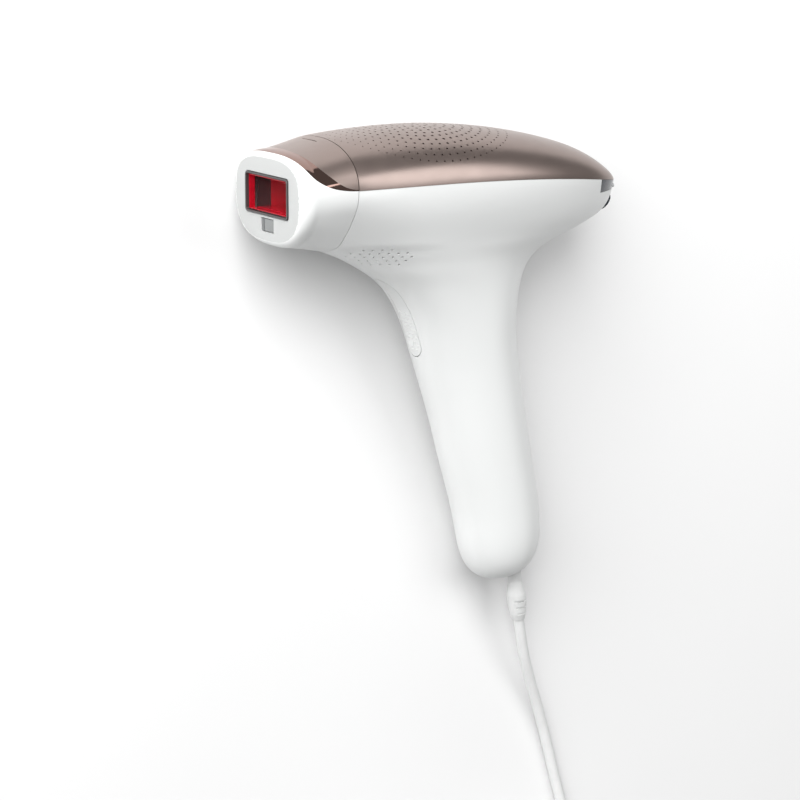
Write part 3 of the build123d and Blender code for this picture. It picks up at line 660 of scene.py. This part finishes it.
def make_vent_shade_sheets():
    """Near-black sheets behind the two groups of vents: painted shade for the inside of the device seen
    through the holes.
    """
    sideways = np.linspace(-TOP_SHEET_HALF_WIDTH, TOP_SHEET_HALF_WIDTH, 61)
    top = np.array([[cover_point(x, s) for s in sideways] for x in np.linspace(*TOP_SHEET_X, 61)])
    shade_sheet("top_vent_shade_sheet", top, TOP_SHEET_DEPTH, UNDER_COVER)
    angles = np.linspace(-CHIN_SHEET_TURN, CHIN_SHEET_TURN, 81)
    chin = np.array([oval(y, angles) for y in np.linspace(*CHIN_SHEET_Y, 12)])
    shade_sheet("chin_vent_shade_sheet", chin, CHIN_SHEET_DEPTH, ABOVE_CHIN)


# ---------------------------------------------------------------- casings
HOLE_LAP = 1.2   # a hole this near to the middle plane is cut in both half shells


def make_casings():
    points, radii = chin_vents()
    places, outs = on_guide(BODY, points)
    for side, name in ((1, "right_body_shell"), (-1, "left_body_shell")):
        shell = cad_copy(name, body="body", material=WHITE)
        keep = [k for k, p in enumerate(places) if device(p)[2] * side > -HOLE_LAP]
        carve(shell, pegs("chin_holes", [places[k] for k in keep], [outs[k] for k in keep],
                          [radii[k] for k in keep], PEG_TOP, -CHIN_DEPTH))
        BODY.polish(shell)
    cover = cad_copy("top_cover", body="body", material=LACQUER)
    points, radii = top_vents()
    places, outs = on_guide(COVER, points)
    carve(cover, pegs("vent_holes", places, outs, radii, PEG_TOP, -VENT_DEPTH))
    COVER.polish(cover)
    panel = cad_copy("rear_panel", body="body", material=PANEL)
    BODY.polish(panel)


DASH_PLACE = (19.25, 20.5, 0)
DASH_SIZE = (0.45, 3.0, 11.4)
FACE_DEPTH = 0.2         # polygons in front of this x that look forward are the treatment face
FACE_SQUARE = 0.98


def cut_dash(piece):
    """The short groove that marks the middle of the attachment's cover."""
    bpy.ops.mesh.primitive_cube_add(size=1)
    cutter = bpy.context.object
    cutter.data.transform(Matrix.Diagonal((*(side * MM for side in DASH_SIZE), 1)))
    cutter.data.transform(Matrix.Rotation(REST_TILT, 4, "X"))
    cutter.data.transform(Matrix.Translation(Vector(row(DASH_PLACE))))
    carve(piece, cutter)


def paint_face_shade(piece):
    """The flat treatment face gets a more matt copy of the white plastic, darkened to grey as painted
    shade.
    """
    piece.data.materials.append(FACE_PAINTED_SHADE)
    for face in piece.data.polygons:
        at_front = device(face.center)[0] < FACE_DEPTH
        face.material_index = int(at_front and -face.normal.x > FACE_SQUARE)


def make_attachment():
    shell = cad_copy("attachment_shell", body="attachment", material=WHITE)
    trim = cad_copy("attachment_trim", body="attachment", material=ROSE)
    cover = cad_copy("attachment_cover", body="attachment", material=LACQUER)
    cut_dash(cover)
    for piece in (shell, trim, cover):
        ATTACHMENT.polish(piece)
    paint_face_shade(shell)


DOME_LOW, DOME_HIGH, DOME_PITCH = -68.0, -51.0, 1.7
DOME_ROWS = ((-2.4, 0.0, 2.4), (-3.6, -1.2, 1.2, 3.6))   # z of the domes in turn, row by row
DOME_RADIUS, DOME_HEIGHT = 0.55, 0.28


def make_trigger():
    """The trigger with rows of small grip domes on its lower half."""
    lever = cad_copy("trigger", body="trigger_lever", material=WHITE)
    BODY.polish(lever)
    places = []
    for k, y in enumerate(np.arange(DOME_LOW, DOME_HIGH, DOME_PITCH)):
        front, _, width, blunt, mid = slice_at(y)
        for z in DOME_ROWS[k % 2]:
            x = mid - (mid - front) * (1 - (abs(z) / width) ** blunt) ** (1 / blunt)
            places.append((x, y, z))
    edit = bmesh.new()
    for place in row(places):
        spot, out = BODY.tree.find_nearest(Vector(place))[0], BODY.normal_at(place, FIND_REACH)
        size = Matrix.Diagonal((DOME_RADIUS * MM, DOME_RADIUS * MM, DOME_HEIGHT * MM, 1))
        turn = Vector(out).to_track_quat("Z", "Y").to_matrix().to_4x4()
        bmesh.ops.create_uvsphere(edit, u_segments=12, v_segments=8, radius=1,
                                  matrix=Matrix.Translation(spot) @ turn @ size)
    domes = object_of("grip_domes", edit, WHITE)
    domes.data.shade_smooth()
    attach(domes, "trigger_lever")


def blocks(name, corners, material, body, replaced=(), rounding=0.0):
    """One piece made of blocks given by their opposite corners in the device frame."""
    edit = bmesh.new()
    for low, high in corners:
        made = bmesh.ops.create_cube(edit, size=1)
        span = [b - a for a, b in zip(low, high)]
        bmesh.ops.scale(edit, vec=span, verts=made["verts"])
        bmesh.ops.translate(edit, vec=[(a + b) / 2 for a, b in zip(low, high)], verts=made["verts"])
    if rounding:
        bmesh.ops.bevel(edit, geom=edit.edges[:], offset=rounding, segments=3, affect="EDGES", profile=0.5)
    for vertex in edit.verts:
        vertex.co = Vector(row(vertex.co))
    made = object_of(name, edit, material)
    shade(made)
    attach(made, body)
    if replaced:
        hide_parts(*replaced)


def rounded_outline(width, height, radius, corner=8):
    """Corner arcs of a rounded rectangle, height first, with corner steps in each arc."""
    points = []
    for k, (sz, sy) in enumerate(((1, 1), (-1, 1), (-1, -1), (1, -1))):
        for i in range(corner + 1):
            turn = (k + i / corner) * math.pi / 2
            points.append((sy * (height / 2 - radius) + radius * math.sin(turn),
                           sz * (width / 2 - radius) + radius * math.cos(turn)))
    return points


def ring_mesh(name, outer, inner, span, bevel=0.15):
    """Rounded rectangular ring that faces along X, with eased edges."""
    loops = []
    for size, x, ease in ((outer, span[0], bevel), (outer, span[0] + bevel, 0), (outer, span[1], 0),
                          (inner, span[1], 0), (inner, span[0] + bevel, 0), (inner, span[0], -bevel)):
        width, height, radius = size[0] - 2 * ease, size[1] - 2 * ease, size[2] - ease
        loops.append([(x, y, z) for y, z in rounded_outline(width, height, radius)])
    count = len(loops[0])
    vertices = row(np.array(loops).reshape(-1, 3))
    faces = []
    for k in range(6):
        here, there = k * count, (k + 1) % 6 * count
        faces += [[here + i, here + (i + 1) % count, there + (i + 1) % count, there + i]
                  for i in range(count)]
    made = mesh_object(name, vertices, faces)
    face_outwards(made)
    shade(made)
    return made


TUBE_HALF_W, TUBE_HALF_H, TUBE_WALL = 15.5, 6.6, 1.0
TUBE_STEPS = (4.6, 10.4, 22.5)   # the side walls are black up to the middle station, red behind it
SLEEVE_X = (0.6, 3.15)           # a thin red sleeve in front of the filter glass
SLEEVE_WALL = 0.25
# The window's frame: width, height and corner radius outside and inside, and its front and back.
FRAME_OUTER, FRAME_INNER, FRAME_SPAN = (34.0, 16.0, 1.4), (32.4, 14.6, 1.0), (-0.6, 1.4)
SENSOR_LOW, SENSOR_HIGH = (0.3, -14.4, -4.9), (3.3, -9.4, 4.9)
SENSOR_SPLIT = (-2.9, -2.6)      # the strip of painted shade for the recess wall ends at the first z, the paler window starts at the second
SENSOR_ROUNDING = 0.2


def wall_blocks(span, half_w, half_h, wall, sides=(True, True)):
    """Top and bottom walls, side walls, or both, of a box that is open along X."""
    near, far = span
    corners = []
    for side in (-1, 1):
        low, high = sorted((side * half_h, side * (half_h + wall)))
        if sides[0]:
            corners.append(((near, low, -half_w - wall), (far, high, half_w + wall)))
        low, high = sorted((side * half_w, side * (half_w + wall)))
        if sides[1]:
            corners.append(((near, -half_h, low), (far, half_h, high)))
    return corners


def make_window():
    """Walls of the light tube round the filter glass, the frame, and the sensor with a strip of painted
    shade along one side.
    """
    front, change, back = TUBE_STEPS
    size = TUBE_HALF_W, TUBE_HALF_H
    red = (wall_blocks((front, back), *size, TUBE_WALL, (True, False))
           + wall_blocks((change, back), *size, TUBE_WALL, (False, True))
           + wall_blocks(SLEEVE_X, *size, SLEEVE_WALL))
    black = wall_blocks((front, change), *size, TUBE_WALL, (False, True))
    blocks("light_tube_red_walls", red, RED, "attachment", ["attachment_light_tube"])
    blocks("light_tube_dark_walls", black, BLACK, "attachment")
    face = ring_mesh("safety_frame_face", FRAME_OUTER, FRAME_INNER, FRAME_SPAN)
    face.data.materials.append(FRAME_DARK)
    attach(face, "frame")
    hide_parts("safety_frame")
    pale = [((*SENSOR_LOW[:2], SENSOR_SPLIT[1]), SENSOR_HIGH)]
    # The darker strip is painted shade for the sensor's recess wall.
    dark = [(SENSOR_LOW, (*SENSOR_HIGH[:2], SENSOR_SPLIT[0]))]
    blocks("sensor_window", pale, SENSOR, "attachment", ["skin_tone_sensor"],
           SENSOR_ROUNDING)
    blocks("sensor_shade_strip", dark, SENSOR_PAINTED_SHADE, "attachment", (), SENSOR_ROUNDING)


make_casings()
make_attachment()
make_trigger()
make_vent_shade_sheets()
make_window()


# ---------------------------------------------------------------- finishes of the CAD pieces
FINISH = {
    "white_plastic": WHITE, "cover_lacquer": LACQUER, "rose_trim": ROSE, "panel_plastic": PANEL,
    "light_pipe": PIPE, "frame_plastic": FRAME_DARK, "clear_glass": CLEAR, "reflector_metal": MIRROR,
    "inner_plastic": INNER, "sensor_window": SENSOR, "circuit_board": BOARD, "black_plastic": BLACK,
    "aluminium": ALUMINIUM, "steel": STEEL, "copper_winding": COPPER, "white_rubber": RUBBER,
    "cord_jacket": JACKET, "pin_metal": NICKEL, "filter_red": RED_GLASS,
}
SLOT_OF = {s["node"]: s["material_slot"] for s in frame["record"]["subparts"]}
for name, part in NODES.items():
    part.data.materials.clear()
    part.data.materials.append(FINISH[SLOT_OF[name]])


# ---------------------------------------------------------------- studio
FLOOR_REACH = 6.0
FLOOR_GREY = 0.81
WORLD_STRENGTH = 0.20
# Place, aim, size and watts of each softbox, in metres.
KEY = ((-0.97, 0.96, 1.06), (0, -0.03, 0.03), (2.2, 2.0), 63)
OVERHEAD = ((0.75, 0.34, 1.27), (0, 0.03, 0.03), (1.0, 0.9), 7.5)


def make_floor():
    r = FLOOR_REACH
    floor = mesh_object("floor", [(-r, -r, 0), (r, -r, 0), (r, r, 0), (-r, r, 0)], [[0, 1, 2, 3]])
    floor.data.materials.append(surface("studio_floor", (FLOOR_GREY,) * 3, (0.7, 0.8), patch=3))


def softbox(name, place, aim, size, power):
    data = bpy.data.lights.new(name, "AREA")
    data.shape = "RECTANGLE"
    data.size, data.size_y = size
    data.energy = power
    lamp = bpy.data.objects.new(name, data)
    lamp.location = place
    lamp.rotation_euler = (Vector(place) - Vector(aim)).to_track_quat("Z", "Y").to_euler()
    bpy.context.scene.collection.objects.link(lamp)


def make_studio():
    make_floor()
    world = bpy.data.worlds.new("studio")
    world.use_nodes = True
    background = world.node_tree.nodes["Background"]
    background.inputs["Color"].default_value = (1.0, 1.0, 1.0, 1)
    background.inputs["Strength"].default_value = WORLD_STRENGTH
    bpy.context.scene.world = world
    softbox("key", *KEY)
    softbox("overhead", *OVERHEAD)
    bpy.context.scene.view_settings.view_transform = "Standard"


make_studio()
